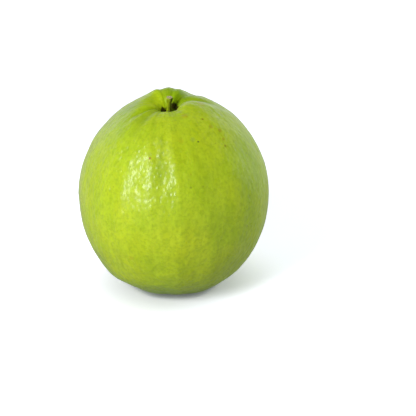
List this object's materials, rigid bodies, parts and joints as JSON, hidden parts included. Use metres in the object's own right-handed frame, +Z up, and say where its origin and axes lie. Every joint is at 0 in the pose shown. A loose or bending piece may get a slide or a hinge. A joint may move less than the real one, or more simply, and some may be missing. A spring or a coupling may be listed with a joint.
{
  "type": "guava",
  "caption": "Whole green guava with a softly ribbed skin, a stalk stub in a puckered hollow on top and a dried calyx under its base.",
  "frame": {"origin": "on the surface that the fruit stands on, under the middle of its outline", "axes": "+Z up through the stalk end, -Y towards the front, where the deepest of the front furrows is a little to the left, and +X to the right of someone who looks at the front"},
  "size_m": [0.0948, 0.0946, 0.1008],
  "materials": {
    "skin": "smooth waxy fruit skin, satin, yellow-green with paler and darker clouds and a few brown specks",
    "stalk": "dull green-brown bark with a pale cut end",
    "calyx": "dry, dark brown and dull"
  },
  "bodies": {
    "root": {"fruit": "skin", "stalk_stub": "stalk", "calyx": "calyx"}
  },
  "joints": []
}
